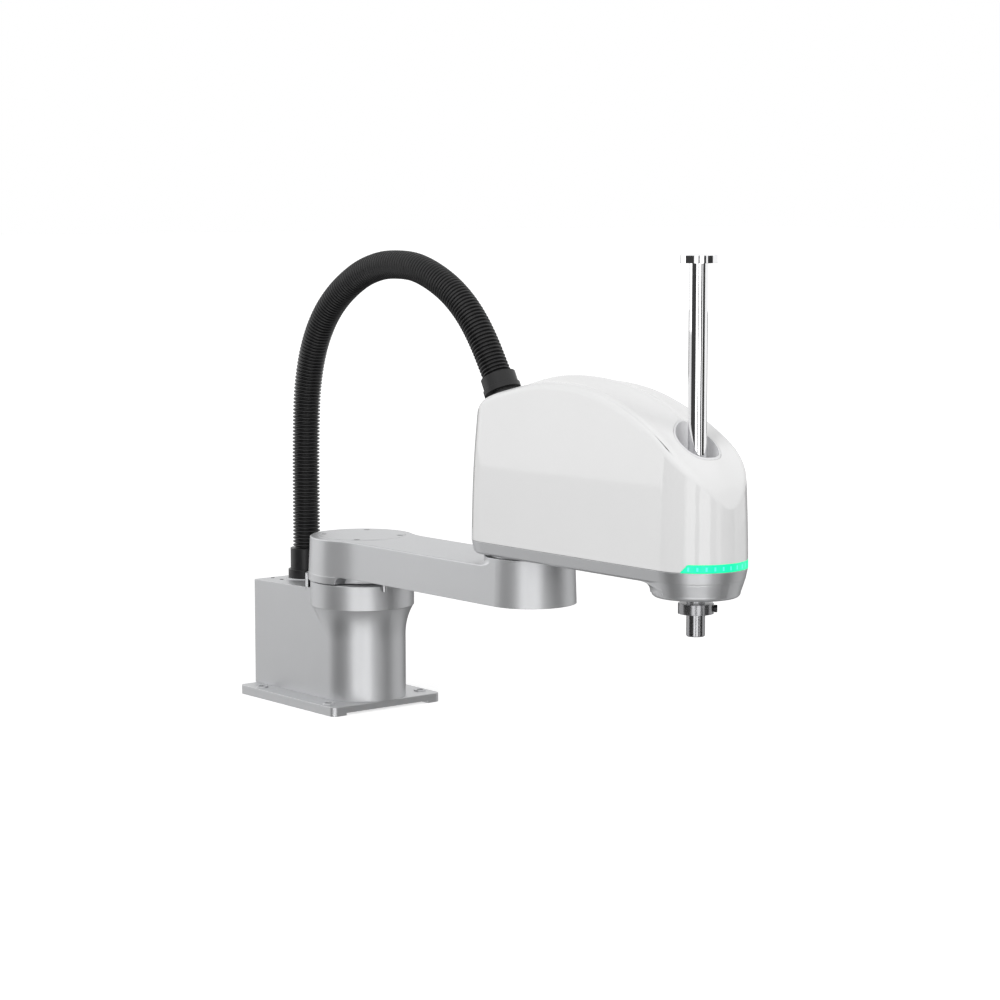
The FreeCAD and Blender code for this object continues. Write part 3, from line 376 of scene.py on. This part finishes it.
# Studio floor: a white painted sheet under the feet. It looks nearly as white as the surround,
# whiter farther out, and keeps the robot's shadow.
floor_reach = 30
floor_tone_dark, floor_tone_light = (0.59, 0.59, 0.59), (0.61, 0.61, 0.61)
whiter_per_metre = 0.3
added_white_near, added_white_far = 0.62, 0.78

floor_white, shader, place = plain_material("floor_white", floor_tone_light, roughness=0.9)
place.feed(shader.inputs["Base Color"],
           blend_colours(place, noise(place, 3.0), floor_tone_dark, floor_tone_light))
seen_direct = place.node("ShaderNodeLightPath", {}, {}, output="Is Camera Ray")
from_centre = place.node("ShaderNodeVectorMath", {"operation": "LENGTH"}, {0: place}, output="Value")
far = ((from_centre - 1.0) * whiter_per_metre).clamped()
place.feed(shader.inputs["Emission Color"],
           blend_colours(place, seen_direct * far.spread(added_white_near, added_white_far),
                         (0, 0, 0), (1, 1, 1)))
shader.inputs["Emission Strength"].default_value = 1.0
floor = new_piece("floor", [(-floor_reach, -floor_reach, 0), (floor_reach, -floor_reach, 0),
                            (floor_reach, floor_reach, 0), (-floor_reach, floor_reach, 0)],
                  [(0, 1, 2, 3)], floor_white, smooth=False)
floor.visible_glossy = False

# White surround: a light tent that shows pure white behind the robot and in its glossy
# surfaces, and lights everything else more softly.
tent_light = 0.575
tent_seen = 1.0

world = bpy.data.worlds.new("studio")
bpy.context.scene.world = world
world.use_nodes = True
background = world.node_tree.nodes["Background"]
camera_ray, glossy_ray, clear_ray = Socket(world.node_tree).node(
    "ShaderNodeLightPath", {}, {}, output=("Is Camera Ray", "Is Glossy Ray", "Is Transmission Ray"))
seen = (camera_ray + glossy_ray + clear_ray).clamped()
background.inputs["Color"].default_value = (1, 1, 1, 1)
seen.feed(background.inputs["Strength"], seen.spread(tent_light, tent_seen))

# Studio cards: tall dark flags and light panels that stand far round the robot, so that only
# its glossy surfaces show them, as stripes along the shaft and soft bands on the castings.
card_reach = 9.0
card_centre = Vector((0.3, 0.0, 0.25))
card_patch = 6
# Compass bearings from +X toward +Y and heights over the horizon, in degrees, and the brightness
cards = [
    ("left_flag", -128, -70, -48, 3, 0.05),
    ("thin_flag", -45, -36, -48, 3, 0.05),
    ("narrow_flag", -12, 2, -48, 3, 0.05),
    ("right_flag", 13, 50, -48, 3, 0.04),
    ("rear_flag", 98, 176, -48, -1, 0.08),
    ("ground_flag", -180, 180, -90, -48, 0.35),
    ("left_low_panel", -170, -128, -48, -1.6, 0.80),
    ("left_panel", -170, -128, -1.6, 28, 1.75),
    ("right_low_panel", 50, 98, -48, -5.5, 0.70),
    ("front_panel_a", -64, -45, -48, 3, 2.1),
    ("front_panel_b", -36, -12, -48, 3, 2.1),
    ("front_panel_top", -64, -10, 3, 28, 1.4),
    ("overhead_ring", -176, 98, 28, 62, 1.3),
]
for name, from_bearing, to_bearing, from_height, to_height, brightness in cards:
    card_paint, shader, place = plain_material(name, (0, 0, 0), roughness=1.0, specular=0.0)
    place.feed(shader.inputs["Emission Color"],
               blend_colours(place, noise(place, 0.4), (brightness * 0.98,) * 3, (brightness * 1.02,) * 3))
    shader.inputs["Emission Strength"].default_value = 1.0
    card_paint.cycles.emission_sampling = "NONE"
    across = max(1, round((to_bearing - from_bearing) / card_patch))
    tall = max(1, round((to_height - from_height) / card_patch))
    corners = []
    for j in range(tall + 1):
        height = math.radians(from_height + (to_height - from_height) * j / tall)
        for i in range(across + 1):
            bearing = math.radians(from_bearing + (to_bearing - from_bearing) * i / across)
            corners.append(card_centre + card_reach * Vector((math.cos(bearing) * math.cos(height),
                                                              math.sin(bearing) * math.cos(height),
                                                              math.sin(height))))
    starts = [j * (across + 1) + i for j in range(tall) for i in range(across)]
    quads = [(a, a + 1, a + across + 2, a + across + 1) for a in starts]
    card = new_piece(name, corners, quads, card_paint)
    for kind in ("camera", "diffuse", "transmission", "volume_scatter", "shadow"):
        setattr(card, "visible_" + kind, False)


# Lamps: two large soft boxes, the stronger one high on the photographer's left and a weaker
# one at the front right. Their own shapes don't show in glossy surfaces.
def lamp(name, stand, aim, side, power):
    data = bpy.data.lights.new(name, "AREA")
    data.shape = "RECTANGLE"
    data.size = side
    data.size_y = side
    data.energy = power
    holder = bpy.data.objects.new(name, data)
    ahead = (Vector(aim) - Vector(stand)).normalized()
    holder.matrix_world = Matrix.Translation(stand) @ ahead.to_track_quat("-Z", "Y").to_matrix().to_4x4()
    holder.visible_glossy = False
    bpy.context.scene.collection.objects.link(holder)


robot_middle = (0.25, 0, 0.25)
lamp("key", stand=(1.2, -2.6, 2.4), aim=robot_middle, side=1.6, power=50)
lamp("fill", stand=(3.0, 1.2, 1.6), aim=robot_middle, side=1.5, power=22)
